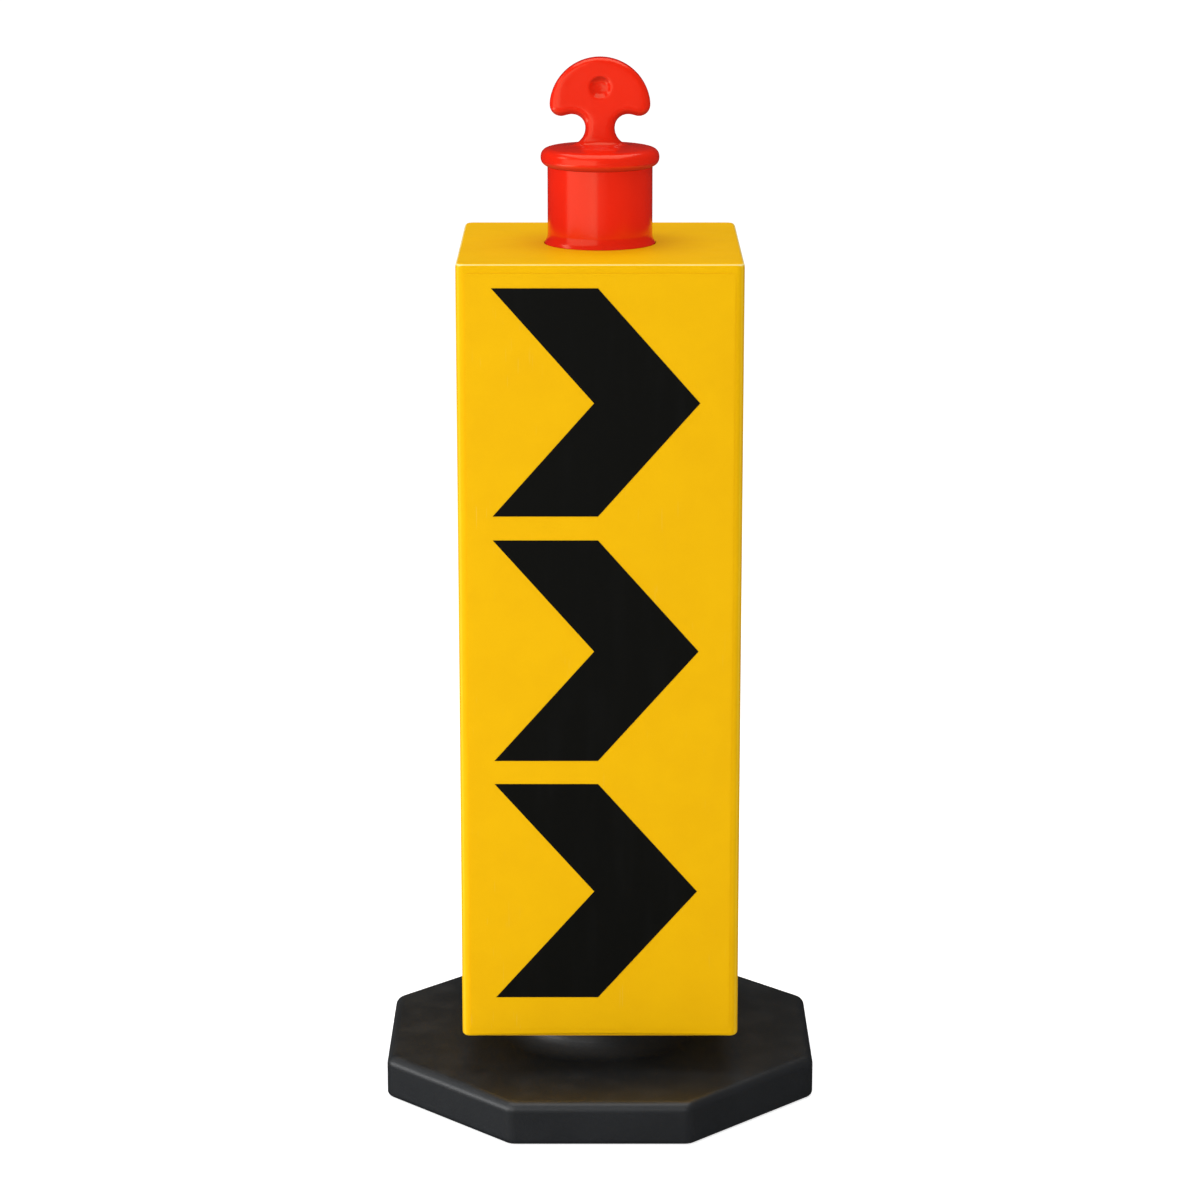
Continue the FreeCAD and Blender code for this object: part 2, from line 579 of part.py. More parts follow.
# ---------------------------------------------------------------- sleeve
def make_sleeve_shell():
    body = new_body("sleeve_shell")
    plan = new_sketch(body, "plan", height="sleeve_low")
    rectangle(plan, "sleeve_width / 2", "sleeve_width / 2")
    shell = extrude(body, "Pad", plan, "sleeve_height", "block")
    shell = soften(body, shell, "sleeve_round", upright, "corners")
    shell = soften(body, shell, "sleeve_top_round", lambda edge: level(edge, "sleeve_high"), "top_rim")
    soften(body, shell, "sleeve_low_round", lambda edge: level(edge, "sleeve_low"), "low_rim")
    floor_seat = new_sketch(body, "seat_plan", height="sleeve_low")
    rectangle(floor_seat, "sleeve_inside / 2", "sleeve_inside / 2")
    extrude(body, "Pocket", floor_seat, "floor_thick", "seat")
    mouth = new_sketch(body, "mouth_plan", height="floor_high")
    rectangle(mouth, "sleeve_inside / 2 - lip_width", "sleeve_inside / 2 - lip_width")
    extrude(body, "Pocket", mouth, "lip_thick", "mouth")
    room = new_sketch(body, "room_plan", height="lip_high")
    rectangle(room, "sleeve_inside / 2", "sleeve_inside / 2")
    room = extrude(body, "Pocket", room, "sleeve_high - sleeve_wall - lip_high", "room")
    inside = "sleeve_inside / 2"
    soften(body, room, "sleeve_round - sleeve_wall",
           lambda edge: upright(edge) and near(abs(edge.BoundBox.XMin), inside), "inner_corners")
    rim = new_sketch(body, "rim_plan", height="sleeve_high - hole_rim")
    circle(rim, "hole_radius + sleeve_wall")
    rim = extrude(body, "Pad", rim, "hole_rim - sleeve_wall / 2", "rim")
    hole = new_sketch(body, "hole_plan", height="sleeve_high - hole_rim")
    circle(hole, "hole_radius")
    extrude(body, "Pocket", hole, "hole_rim", "hole")
    screws = new_sketch(body, "screw_plan", height="floor_high")
    for place in ("screw_spread / 2", "-screw_spread / 2"):
        circle(screws, "floor_screw_radius + screw_gap", x=place, y="-screw_place")
    screws = extrude(body, "Pocket", screws, "lip_thick", "screw_holes")
    around(body, [screws], 4, "all_screw_holes")
    return body


def make_sleeve_floor():
    body = new_body("sleeve_floor")
    plan = new_sketch(body, "plan", height="sleeve_low")
    rectangle(plan, "sleeve_inside / 2 - floor_gap", "sleeve_inside / 2 - floor_gap")
    floor = extrude(body, "Pad", plan, "floor_thick", "panel")
    soften(body, floor, "sleeve_round - sleeve_wall", upright, "corners")
    hole = new_sketch(body, "hole_plan", height="sleeve_low")
    circle(hole, "floor_hole")
    extrude(body, "Pocket", hole, "floor_thick", "hole")
    cuts = []
    for name, radius, depth in (("head", "floor_head_radius + screw_gap", "floor_head_high"),
                                ("shank", "floor_screw_radius + screw_gap", "floor_thick")):
        sketch = new_sketch(body, f"{name}_plan", height="sleeve_low")
        for place in ("screw_spread / 2", "-screw_spread / 2"):
            circle(sketch, radius, x=place, y="-screw_place")
        cuts.append(extrude(body, "Pocket", sketch, depth, f"{name}_holes"))
    around(body, cuts, 4, "all_holes")
    return body


def face_panel(body, name, thick, corners, depth):
    """A thin panel on the front face: its outline in X and Z, and its back face at the given depth."""
    sketch = new_sketch(body, name, "XZ_Plane", depth)
    outline(sketch, corners)
    return extrude(body, "Pad", sketch, thick, f"{name}_pad")


def make_sheet(label, turned):
    body = new_body(label)
    half = "(sleeve_width / 2 - sheet_margin)"
    low, high = "sleeve_low + sheet_margin", "sleeve_high - sheet_margin"
    panel = face_panel(body, "panel", "sheet_thick", [
        (f"-{half}", low), (half, low), (half, high), (f"-{half}", high)], "sleeve_width / 2")
    soften(body, panel, "sheet_round",
           lambda edge: edge.BoundBox.XLength < 1e-3 and edge.BoundBox.ZLength < 1e-3, "corners")
    place(body, turned)
    return body


def make_chevron(label, step, turned):
    body = new_body(label)
    left = "(chevron_shift - (chevron_band + chevron_run) / 2)"
    low = f"(sleeve_low + chevron_foot + {step} * (chevron_height + chevron_space))"
    middle, high = f"{low} + chevron_height / 2", f"{low} + chevron_height"
    face_panel(body, "arrow", "film_thick", [
        (left, low), (f"{left} + chevron_band", low), (f"{left} + chevron_band + chevron_run", middle),
        (f"{left} + chevron_band", high), (left, high), (f"{left} + chevron_run", middle)],
        "sleeve_width / 2 + sheet_thick")
    place(body, turned)
    return body


def place(body, turned):
    """Front pieces stay as drawn; rear pieces are turned half round the post."""
    turn = FreeCAD.Rotation(FreeCAD.Vector(0, 0, 1), 180 if turned else 0)
    body.Placement = FreeCAD.Placement(FreeCAD.Vector(0, 0, 0), turn)
    doc.recompute()


# ---------------------------------------------------------------- build, check, write
nodes = [
    make_rubber_base(),
    make_lock_ring(),
    make_screws("lock_ring_screws", RING_SCREWS, ["ring_screw_circle"], "0", "ring_recess - ring_head_high",
                "ring_head_radius", "ring_head_high", "ring_screw_radius", "ring_screw_length"),
    make_inserts(),
    make_stem_tube(),
    make_bayonet_foot(),
    make_t_top(),
    make_guide_bush(),
    make_sleeve_shell(),
    make_sleeve_floor(),
    make_screws("sleeve_floor_screws", 4, ["screw_spread / 2", "-screw_spread / 2"], "-screw_place", "sleeve_low",
                "floor_head_radius", "floor_head_high", "floor_screw_radius", "floor_screw_length"),
    make_sheet("front_sheet", False),
    make_sheet("rear_sheet", True),
]
for side, turned in (("front", False), ("rear", True)):
    for step, name in enumerate(CHEVRON_NAMES):
        nodes.append(make_chevron(f"chevron_{side}_{name}", step, turned))

doc.recompute()
for item in doc.Objects:
    if any(word in item.State for word in ("Invalid", "Error")):
        raise RuntimeError(f"{item.Name} failed: {item.State}")
for node in nodes:
    if node.Shape.isNull() or not node.Shape.isValid() or not node.Shape.Solids:
        raise RuntimeError(f"{node.Label} has no valid shape")

os.makedirs("parts", exist_ok=True)
for node in nodes:
    node.Shape.exportStep(f"parts/{node.Label}.step")
    box = node.Shape.BoundBox
    print(f"{node.Label}: {len(node.Shape.Solids)} solids, {node.Shape.Volume / 1000:.1f} cm3, "
          f"{box.XLength:.1f} x {box.YLength:.1f} x {box.ZLength:.1f}, from z {box.ZMin:.1f}")
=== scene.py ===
"""Delineator post: finishes, soft-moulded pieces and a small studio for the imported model.

Run as a script it builds the whole scene; its panel lists the same steps one by one.
All lengths are metres, and MM turns millimetres into them.
"""

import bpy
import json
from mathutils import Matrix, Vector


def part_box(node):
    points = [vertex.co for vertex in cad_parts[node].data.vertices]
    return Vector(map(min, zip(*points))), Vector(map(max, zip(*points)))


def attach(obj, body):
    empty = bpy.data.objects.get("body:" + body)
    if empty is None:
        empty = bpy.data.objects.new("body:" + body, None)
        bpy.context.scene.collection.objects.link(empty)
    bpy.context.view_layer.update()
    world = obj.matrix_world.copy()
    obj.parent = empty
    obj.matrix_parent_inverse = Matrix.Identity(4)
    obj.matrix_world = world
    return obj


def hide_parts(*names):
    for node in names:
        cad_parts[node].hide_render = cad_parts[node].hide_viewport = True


bl_info = {
    "name": "Delineator Post",
    "version": (1, 0, 0),
    "blender": (4, 5, 0),
    "location": "View3D > Sidebar > Delineator",
    "description": "Models and finishes a T-top delineator post with its chevron sleeve and rubber base",
    "category": "Object",
}

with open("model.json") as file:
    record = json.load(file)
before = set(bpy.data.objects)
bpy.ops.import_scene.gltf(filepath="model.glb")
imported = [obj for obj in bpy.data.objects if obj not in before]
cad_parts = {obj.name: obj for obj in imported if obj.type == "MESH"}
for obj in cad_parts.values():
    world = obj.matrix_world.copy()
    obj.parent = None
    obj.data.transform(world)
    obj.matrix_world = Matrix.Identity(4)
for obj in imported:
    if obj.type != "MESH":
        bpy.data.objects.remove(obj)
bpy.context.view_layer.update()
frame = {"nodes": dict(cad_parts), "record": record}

import json
import math

import bmesh
import bpy
from bpy.props import FloatProperty, FloatVectorProperty, PointerProperty
from bpy.types import Operator, Panel, PropertyGroup
from mathutils import Vector

MM = 0.001
TURN = 2 * math.pi

SLEEVE_LOW, SLEEVE_HIGH = (Vector(corner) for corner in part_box("sleeve_shell"))
TUBE_HIGH = Vector(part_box("stem_tube")[1])
TOP_LOW, TOP_HIGH = (Vector(corner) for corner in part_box("t_top"))


# ------------------------------------------------------------------ shader arithmetic
class Wire:
    """One output of a shader node. Arithmetic on wires adds Math nodes."""

    def __init__(self, finish, socket):
        self.finish = finish
        self.socket = socket

    def maths(self, operation, *others):
        return self.finish.add("ShaderNodeMath", {"operation": operation}, dict(enumerate((self, *others))))

    def __add__(self, other):
        return self.maths("ADD", other)

    def __rsub__(self, other):
        return self.finish.add("ShaderNodeMath", {"operation": "SUBTRACT"}, {0: other, 1: self})

    def __mul__(self, other):
        return self.maths("MULTIPLY", other)

    def __pow__(self, other):
        return self.maths("POWER", other)

    def __abs__(self):
        return self.maths("ABSOLUTE")

    __radd__ = __add__
    __rmul__ = __mul__

    def between(self, low, high):
        """0 at and below low, 1 at and above high, smooth between them."""
        return self.finish.add("ShaderNodeMapRange", {"interpolation_type": "SMOOTHSTEP"},
                               {"Value": self, "From Min": low, "From Max": high})


class Finish:
    """A material that is built up node by node."""

    def __init__(self, name):
        self.material = bpy.data.materials.new(name)
        self.material.use_nodes = True
        self.tree = self.material.node_tree
        self.tree.nodes.clear()

    def add(self, kind, settings, values, output=0):
        """A node of one kind: its settings first, then the values or links of its sockets."""
        node = self.tree.nodes.new(kind)
        for key, value in settings.items():
            setattr(node, key, value)
        for key, value in values.items():
            if isinstance(value, Wire):
                self.tree.links.new(value.socket, node.inputs[key])
            else:
                node.inputs[key].default_value = value
        return Wire(self, node.outputs[output])

    def three(self, output):
        """One of the coordinate node's vectors as three wires."""
        vector = self.add("ShaderNodeTexCoord", {}, {}, output)
        split = self.add("ShaderNodeSeparateXYZ", {}, {"Vector": vector})
        return [Wire(self, socket) for socket in split.socket.node.outputs]

    def axes(self):
        """The place on the object, in metres."""
        return self.three("Object")

    def facing(self):
        """The surface's own direction, each part from -1 to 1."""
        return self.three("Normal")

    def place(self, stretch=(1.0, 1.0, 1.0)):
        """Object coordinates for a pattern, closer along an axis whose stretch is above 1."""
        coordinates = self.add("ShaderNodeTexCoord", {}, {}, output="Object")
        return self.add("ShaderNodeMapping", {}, {"Vector": coordinates, "Scale": stretch})

    def noise(self, size, detail=2.0, rough=0.5, stretch=(1.0, 1.0, 1.0), warp=0.0):
        """Noise from 0 to 1 whose blotches are about one size across."""
        return self.add("ShaderNodeTexNoise", {}, {
            "Vector": self.place(stretch), "Scale": 1.0 / size, "Detail": detail, "Roughness": rough,
            "Distortion": warp})

    def cells(self, size):
        """The distance to the nearest of many scattered points that are about one size apart."""
        return self.add("ShaderNodeTexVoronoi", {}, {"Vector": self.place(), "Scale": 1.0 / size})

    def blend(self, share, first, second):
        """The first colour where share is 0 and the second where it is 1."""
        node = self.add("ShaderNodeMix", {"data_type": "RGBA"}, {"Factor": share}, output=2).socket.node
        for socket, colour in ((node.inputs[6], first), (node.inputs[7], second)):
            if isinstance(colour, Wire):
                self.tree.links.new(colour.socket, socket)
            else:
                socket.default_value = (*colour, 1.0)
        return Wire(self, node.outputs[2])

    def bump(self, height, depth, under=None):
        """A normal from a height between 0 and 1 that stands for one depth, over another normal."""
        values = {"Height": height, "Distance": depth}
        if under:
            values["Normal"] = under
        return self.add("ShaderNodeBump", {}, values)

    def finish(self, **values):
        """Ends in a Principled shader with these socket values."""
        names = {key.replace("_", " "): value for key, value in values.items()}
        shader = self.add("ShaderNodeBsdfPrincipled", {}, names, output="BSDF")
        end = self.tree.nodes.new("ShaderNodeOutputMaterial")
        self.tree.links.new(shader.socket, end.inputs["Surface"])
        return self.material


def colour_of(name):
    """One of the panel's colours."""
    return tuple(getattr(bpy.context.scene.delineator_colours, name))


def tinted(colour, shares):
    """A colour with each channel multiplied by its share."""
    return tuple(channel * share for channel, share in zip(colour, shares))


# ------------------------------------------------------------------ modelling by hand
DOUBLED = 0.02 * MM
NEAR = 0.1 * MM
ROUND_SIDES = 96


def begin(name, primitive, **settings):
    """Add a primitive, name it, settle its place into its mesh and open it for editing."""
    if bpy.context.mode != "OBJECT":
        bpy.ops.object.mode_set(mode="OBJECT")
    bpy.ops.object.select_all(action="DESELECT")
    primitive(**settings)
    piece = bpy.context.active_object
    piece.name = piece.data.name = name
    bpy.ops.object.transform_apply(location=True, rotation=True, scale=True)
    bpy.ops.object.mode_set(mode="EDIT")
    bpy.ops.mesh.select_mode(type="VERT")
    bpy.ops.mesh.select_all(action="SELECT")
    return piece


def begin_line(name, place):
    """A piece that starts as one vertex, to be drawn out into a section."""
    piece = begin(name, bpy.ops.mesh.primitive_circle_add, vertices=3, radius=MM, location=place)
    bpy.ops.mesh.merge(type="CENTER")
    return piece


def run(across, up):
    """Draw the section on in a straight line."""
    bpy.ops.mesh.extrude_region_move(TRANSFORM_OT_translate={"value": (across, 0.0, up)})


def bend(across, up, degrees, steps, depth=0.0):
    """Draw the section on round an arc, anticlockwise seen from the front."""
    bpy.ops.mesh.spin(steps=steps, angle=math.radians(degrees), center=(across, depth, up),
                      axis=(0.0, 1.0, 0.0))


def choose(piece, kind, test):
    """Select just the verts, edges or faces that pass a test."""
    bpy.ops.mesh.select_mode(type=kind[:-1].upper())
    bpy.ops.mesh.select_all(action="DESELECT")
    mesh = bmesh.from_edit_mesh(piece.data)
    for part in getattr(mesh, kind):
        if test(part):
            part.select_set(True)
    mesh.select_flush_mode()
    bmesh.update_edit_mesh(piece.data)


def close_shell():
    """Merge doubled vertices and turn every face outwards."""
    bpy.ops.mesh.select_all(action="SELECT")
    bpy.ops.mesh.remove_doubles(threshold=DOUBLED)
    bpy.ops.mesh.normals_make_consistent(inside=False)
    bpy.ops.object.mode_set(mode="OBJECT")


def modify(piece, kind, **settings):
    """Put a modifier on a piece and apply it."""
    bpy.ops.object.select_all(action="DESELECT")
    bpy.context.view_layer.objects.active = piece
    piece.select_set(True)
    modifier = piece.modifiers.new(kind.lower(), kind)
    for key, value in settings.items():
        setattr(modifier, key, value)
    bpy.ops.object.modifier_apply(modifier=modifier.name)


def combine(piece, tool, operation):
    """Join a tool piece to a piece, or cut it out of it, and throw the tool away."""
    modify(piece, "BOOLEAN", object=tool, operation=operation, solver="EXACT")
    bpy.ops.object.select_all(action="DESELECT")
    tool.select_set(True)
    bpy.ops.object.delete()


def weigh(piece, name, weight):
    """A vertex group whose weights come from each vertex's place."""
    group = piece.vertex_groups.new(name=name)
    for vertex in piece.data.vertices:
        share = weight(vertex.co)
        if share > 0.0:
            group.add([vertex.index], share, "REPLACE")
    return name


def settle(piece, body, *nodes):
    """Finish a piece: it rides on a body, stands for CAD nodes and takes the first one's slot."""
    slot = NODE_SLOTS[nodes[0]]
    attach(piece, body)
    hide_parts(*nodes)
    coat(piece, slot)


# ------------------------------------------------------------------ sizes and colours
def length(name, description, default, low, high):
    """A length, its default and limits given in millimetres."""
    return FloatProperty(name=name, description=description, subtype="DISTANCE", unit="LENGTH",
                         default=default * MM, min=low * MM, max=high * MM)


def colour(name, description, default):
    """A linear colour."""
    return FloatVectorProperty(name=name, description=description, subtype="COLOR", size=3,
                               default=default, min=0.0, max=1.0)


def watts(name, description, default):
    """The power of a light."""
    return FloatProperty(name=name, description=description, unit="POWER", default=default, min=0.0)


def brightness(name, description, default):
    """A plain strength."""
    return FloatProperty(name=name, description=description, default=default, min=0.0)


class DELINEATOR_PG_top(PropertyGroup):
    """Sizes of the T-top."""
    head_radius: length("Head radius", "Round outline of the head", 52.3, 30, 60)
    lobe_radius: length("Lobe radius", "Rounded tip at each side", 12.0, 5, 20)
    lobe_rise: length("Lobe rise", "Lobe's centre above the head's centre", 3.5, 0, 10)
    gap_radius: length("Finger gap", "Hollow under each lobe", 14.0, 8, 20)
    neck_width: length("Neck width", "Narrowest part of the neck", 30.0, 20, 40)
    thickness: length("Thickness", "Front to back", 22.0, 15, 30)
    edge: length("Edge", "Rounding of the head's lower edges, twice that of its crown", 9.0, 2, 10)
    dimple_radius: length("Dimple radius", "Finger dimple on each side", 11.4, 5, 15)
    dimple_depth: length("Dimple depth", "Depth of each finger dimple", 6.2, 1, 8)
    dimple_drop: length("Dimple drop", "Dimple's centre below the head's top", 30.0, 20, 40)
    collar_height: length("Collar", "Height of the rounded collar", 21.0, 15, 30)
    grain: length("Moulding step", "Spacing of the finished mesh", 1.35, 0.8, 3)


class DELINEATOR_PG_sleeve(PropertyGroup):
    """Sizes of the sleeve."""
    wall: length("Wall", "Thickness of the wall", 4.0, 2, 8)
    corner: length("Upright edges", "Rounding of the upright edges", 9.0, 2, 20)
    shoulder: length("Top edges", "Rounding of the top edges", 4.2, 2, 15)
    sink: length("Side sink", "How far the side panels draw in", 1.2, 0, 3)
    bow: length("Lower bow", "How far the lower edges rise in the middle", 1.8, 0, 4)


class DELINEATOR_PG_colours(PropertyGroup):
    """Colours of the finishes."""
    orange: colour("Orange", "Fluorescent orange of the post and its T-top", (0.90, 0.0185, 0.004))
    yellow: colour("Yellow", "Yellow of the sleeve and its sheeting", (0.90, 0.50, 0.0015))
    chevron: colour("Chevron", "Black of the chevron film", (0.0050, 0.0050, 0.0040))
    rubber: colour("Rubber", "Charcoal of the moulded rubber", (0.0140, 0.0158, 0.0182))
    nylon: colour("Nylon", "Black of the lock ring, bush and foot", (0.018, 0.018, 0.019))
    floor: colour("Floor", "Pale studio floor", (0.88, 0.88, 0.88))


class DELINEATOR_PG_stage(PropertyGroup):
    """Camera and lights."""
    lens: FloatProperty(
        name="Lens", description="Focal length", unit="CAMERA", default=108.8, min=20.0, max=300.0)
    distance: length("Distance", "Camera to the post's axis, level", 3735.7, 1000, 20000)
    height: length("Height", "Camera above the ground", 1474.7, 0, 10000)
    tilt: FloatProperty(
        name="Tilt", description="How far the camera looks down", subtype="ANGLE", unit="ROTATION",
        default=math.radians(14.247), min=0.0, max=TURN / 4)
    key_power: watts("Key", "Power of the large left light", 21.4)
    top_power: watts("Overhead", "Power of the overhead light", 35.2)
    low_power: watts("Low front", "Power of the low front light", 7.8)
    side_power: watts("Low left", "Power of the low left light", 4.0)
    high_power: watts("High left", "Power of the high left light", 2.6)
    floor_shine: brightness("Floor brightness", "Brightness of the floor as it is seen", 0.72)
    floor_glow: brightness("Floor light", "Light that the far floor gives back", 0.35)
    sky: brightness("Sky", "Even light from all round", 0.44)
    sky_gloss: brightness(
        "Sky in reflections", "How bright the surroundings are in glossy surfaces", 0.03)
    sky_seen: brightness("Sky as seen", "How bright the surroundings are to the camera", 1.0)


# ------------------------------------------------------------------ finishes
DRAWN = (1.0, 1.0, 0.12)
WIPED = (1.0, 1.0, 0.15)
SCRATCHED = (1.0, 1.0, 0.03)
TURNED = (0.2, 0.2, 3.0)


def orange_plastic(name):
    """Dyed polyethylene: drawn flow lines, a soft orange peel, small rubbed scuffs and painted shade that
    darkens the faces that look down.
    """
    look = Finish(name)
    orange, rubbed_orange = colour_of("orange"), (0.95, 0.22, 0.10)
    flow_share, rub_share, underside_shade_share = 0.30, 0.08, 0.7
    flow = look.noise(30 * MM, detail=3.0, stretch=DRAWN, warp=0.3).between(0.35, 0.75)
    scuff = look.noise(1.6 * MM, rough=0.6, stretch=DRAWN).between(0.66, 0.74)
    rubbed = scuff * look.noise(50 * MM).between(0.5, 0.64)
    _, _, up = look.facing()
    # Painted shade: faces that look down are darkened and made rougher, standing in for the shade under the
    # collar and lobes.
    under = up.between(-0.15, -0.75)
    paint = look.blend(flow * flow_share, orange, tinted(orange, (0.86, 0.72, 0.8)))
    paint = look.blend(rubbed * rub_share, paint, rubbed_orange)
    # Painted shade on the downward faces: the orange at 0.4 of its brightness.
    paint = look.blend(under * underside_shade_share, paint, tinted(orange, (0.4, 0.4, 0.4)))
    peel = look.noise(4.2 * MM, detail=1.5) * 0.75 + look.noise(0.7 * MM, detail=1.0) * 0.25
    rough = 0.15 + look.noise(30 * MM, detail=3.0) * 0.05 + rubbed * 0.12 + under * 0.5
    return look.finish(Base_Color=paint, Roughness=rough, Normal=look.bump(peel, 0.035 * MM), IOR=1.55,
                       Specular_Tint=(1.0, 0.82, 0.50, 1.0))


def yellow_plastic(name):
    """Yellow moulding: a fine stipple, faint mottling, and pale crests on its rounded edges that are partly
    rubbed wear and partly a painted highlight, with a painted glint on the top edges.
    """
    look = Finish(name)
    yellow, rubbed_and_highlight_yellow, glint_yellow = colour_of("yellow"), (1.0, 0.72, 0.05), (1.0, 0.90, 0.42)
    mottle = look.noise(60 * MM, detail=4.0, rough=0.55).between(0.3, 0.7)
    fine = look.noise(4 * MM).between(0.35, 0.7)
    paint = look.blend(mottle * 0.6 + fine * 0.25, yellow, tinted(yellow, (0.955, 0.93, 0.9)))
    across, along, up = look.facing()
    squarest = abs(across).maths("MAXIMUM", abs(along)).maths("MAXIMUM", abs(up))
    # Crests on the rounded edges: partly rubbed wear, partly a painted highlight standing in for light
    # glinting on the edges.
    edge_wear_and_glint = (1.0 - squarest).between(0.13, 0.28) * (0.45 + look.noise(20 * MM, detail=3.0) * 0.55)
    paint = look.blend(edge_wear_and_glint * 0.45, paint, rubbed_and_highlight_yellow)
    # Painted highlight: a pale cream glint on the crests of the upward-facing edges.
    paint = look.blend(edge_wear_and_glint * up.between(0.3, 0.6), paint, glint_yellow)
    stipple = look.noise(1.2 * MM) * 0.6 + look.noise(6 * MM, detail=1.0) * 0.4
    rough = 0.40 + look.noise(20 * MM, detail=3.0) * 0.08
    return look.finish(Base_Color=paint, Roughness=rough, Normal=look.bump(stipple, 0.09 * MM), IOR=1.45,
                       Specular_IOR_Level=0.05)


def yellow_sheeting(name):
    """Yellow sheeting: a smooth film over fine glass beads, with a few hairline scratches."""
    look = Finish(name)
    yellow, scratched_yellow, scratch_share = colour_of("yellow"), (0.95, 0.70, 0.2), 0.18
    mottle = look.noise(50 * MM, detail=4.0, rough=0.6).between(0.3, 0.7)
    beads = look.cells(1.1 * MM)
    paint = look.blend(mottle * 0.55 + beads.between(0.2, 0.8) * 0.22, yellow,
                       tinted(yellow, (0.955, 0.925, 0.9)))
    scratch = look.noise(1.2 * MM, detail=1.0, stretch=SCRATCHED, warp=0.2).between(0.72, 0.76)
    scratch = scratch * look.noise(80 * MM).between(0.52, 0.62)
    paint = look.blend(scratch * scratch_share, paint, scratched_yellow)
    film = beads * 0.5 + look.noise(12 * MM) * 0.5
    rough = 0.34 + look.noise(30 * MM, detail=3.0) * 0.08 + scratch * 0.15
    return look.finish(Base_Color=paint, Roughness=rough, Normal=look.bump(film, 0.05 * MM), IOR=1.45,
                       Specular_IOR_Level=0.06)


def chevron_film(name):
    """Black film: satin, with a fine leather-like grain and dust in faint vertical wipes."""
    look = Finish(name)
    dusty_black = (0.009, 0.009, 0.0085)
    wipes = look.noise(20 * MM, detail=4.0, rough=0.6, stretch=WIPED).between(0.45, 0.8)
    specks = look.cells(12 * MM).between(0.06, 0.02)
    paint = look.blend(wipes * 0.30 + specks * 0.1, colour_of("chevron"), dusty_black)
    grain = look.noise(1.6 * MM, detail=2.5) * 0.6 + look.noise(15 * MM, detail=1.0) * 0.4
    return look.finish(Base_Color=paint, Roughness=0.46 + wipes * 0.10, Normal=look.bump(grain, 0.05 * MM),
                       IOR=1.4, Specular_IOR_Level=0.12)


def moulded_rubber(name):
    """Moulded recycled rubber: crumbs under a fine matt skin, dust on top and a painted highlight along the
    rims, weaker on faces turned to the right.
    """
    look = Finish(name)
    rubber, fleck_grey = colour_of("rubber"), (0.050, 0.050, 0.052)
    dust_grey, rim_highlight_grey = (0.052, 0.054, 0.056), (0.085, 0.090, 0.096)
    fleck_share, dust_share = 0.22, 0.34
    crumbs, skin = look.cells(3 * MM), look.noise(1.4 * MM, detail=3.0, rough=0.6)
    cloud = look.noise(70 * MM, detail=4.0, rough=0.55).between(0.3, 0.75)
    flecks = look.cells(4.2 * MM).between(0.20, 0.10) * look.noise(9 * MM).between(0.58, 0.66)
    paint = look.blend(cloud * 0.35 + crumbs * 0.25, rubber, tinted(rubber, (1.6, 1.6, 1.6)))
    paint = look.blend(flecks * fleck_share, paint, fleck_grey)
    across, _, up = look.facing()
    dust = up.between(0.75, 1.0) * look.noise(35 * MM, detail=5.0, rough=0.65).between(0.42, 0.78)
    paint = look.blend(dust * dust_share, paint, dust_grey)
    # Painted highlight: the rounded rims are lightened, much less on faces turned to the right, standing in
    # for light from the left.
    rim = up.between(0.10, 0.45) * (1.0 - up.between(0.75, 0.96)) * (1.0 - across.between(0.02, 0.35) * 0.85)
    paint = look.blend(rim * (0.07 + skin * 0.15), paint, rim_highlight_grey)
    normal = look.bump(crumbs * 0.35 + skin * 0.65, 0.16 * MM)
    normal = look.bump(look.noise(30 * MM, detail=1.0), 0.4 * MM, under=normal)
    return look.finish(Base_Color=paint, Roughness=0.36 + skin * 0.12 + dust * 0.06, Normal=normal, IOR=1.5,
                       Specular_IOR_Level=0.75)


def black_nylon(name):
    """Moulded nylon: spark-eroded texture and faint sink marks."""
    look = Finish(name)
    nylon = colour_of("nylon")
    cloud, grit = look.noise(20 * MM, detail=3.0), look.noise(0.6 * MM)
    paint = look.blend(cloud * 0.6, nylon, tinted(nylon, (1.8, 1.8, 1.8)))
    return look.finish(Base_Color=paint, Roughness=0.42 + grit * 0.16,
                       Normal=look.bump(grit * 0.7 + cloud * 0.3, 0.08 * MM), IOR=1.5)


def zinc_steel(name):
    """Zinc-plated steel: fine turning marks and a mottled passivated film."""
    look = Finish(name)
    bright_zinc, blue_zinc = (0.62, 0.62, 0.60), (0.50, 0.52, 0.55)
    film = look.noise(4 * MM, detail=4.0)
    turned = look.noise(0.4 * MM, detail=1.0, stretch=TURNED)
    return look.finish(Base_Color=look.blend(film.between(0.3, 0.7), bright_zinc, blue_zinc),
                       Roughness=0.30 + film * 0.18, Metallic=1.0, Normal=look.bump(turned, 0.02 * MM))


def studio_floor(name):
    """Pale painted floor, faintly clouded, that looks brighter than the light that it gives back."""
    look = Finish(name)
    stage, pale = bpy.context.scene.delineator_stage, colour_of("floor")
    near, far, cloud_size = 0.8, 7.0, 0.8
    cloud = look.noise(cloud_size, detail=3.0).between(0.3, 0.7)
    paint = look.blend(cloud * 0.15, pale, tinted(pale, (0.985, 0.985, 0.985)))
    across, along, _ = look.axes()
    reach = (across * across + along * along) ** 0.5
    glow = look.blend(reach.between(near, far), (0.0, 0.0, 0.0), (stage.floor_glow,) * 3)
    seen = look.add("ShaderNodeLightPath", {}, {}, output="Is Camera Ray")
    glow = look.blend(seen, glow, (stage.floor_shine,) * 3)
    return look.finish(Base_Color=paint, Roughness=0.65 + cloud * 0.05, IOR=1.3,
                       Emission_Color=glow, Emission_Strength=1.0)


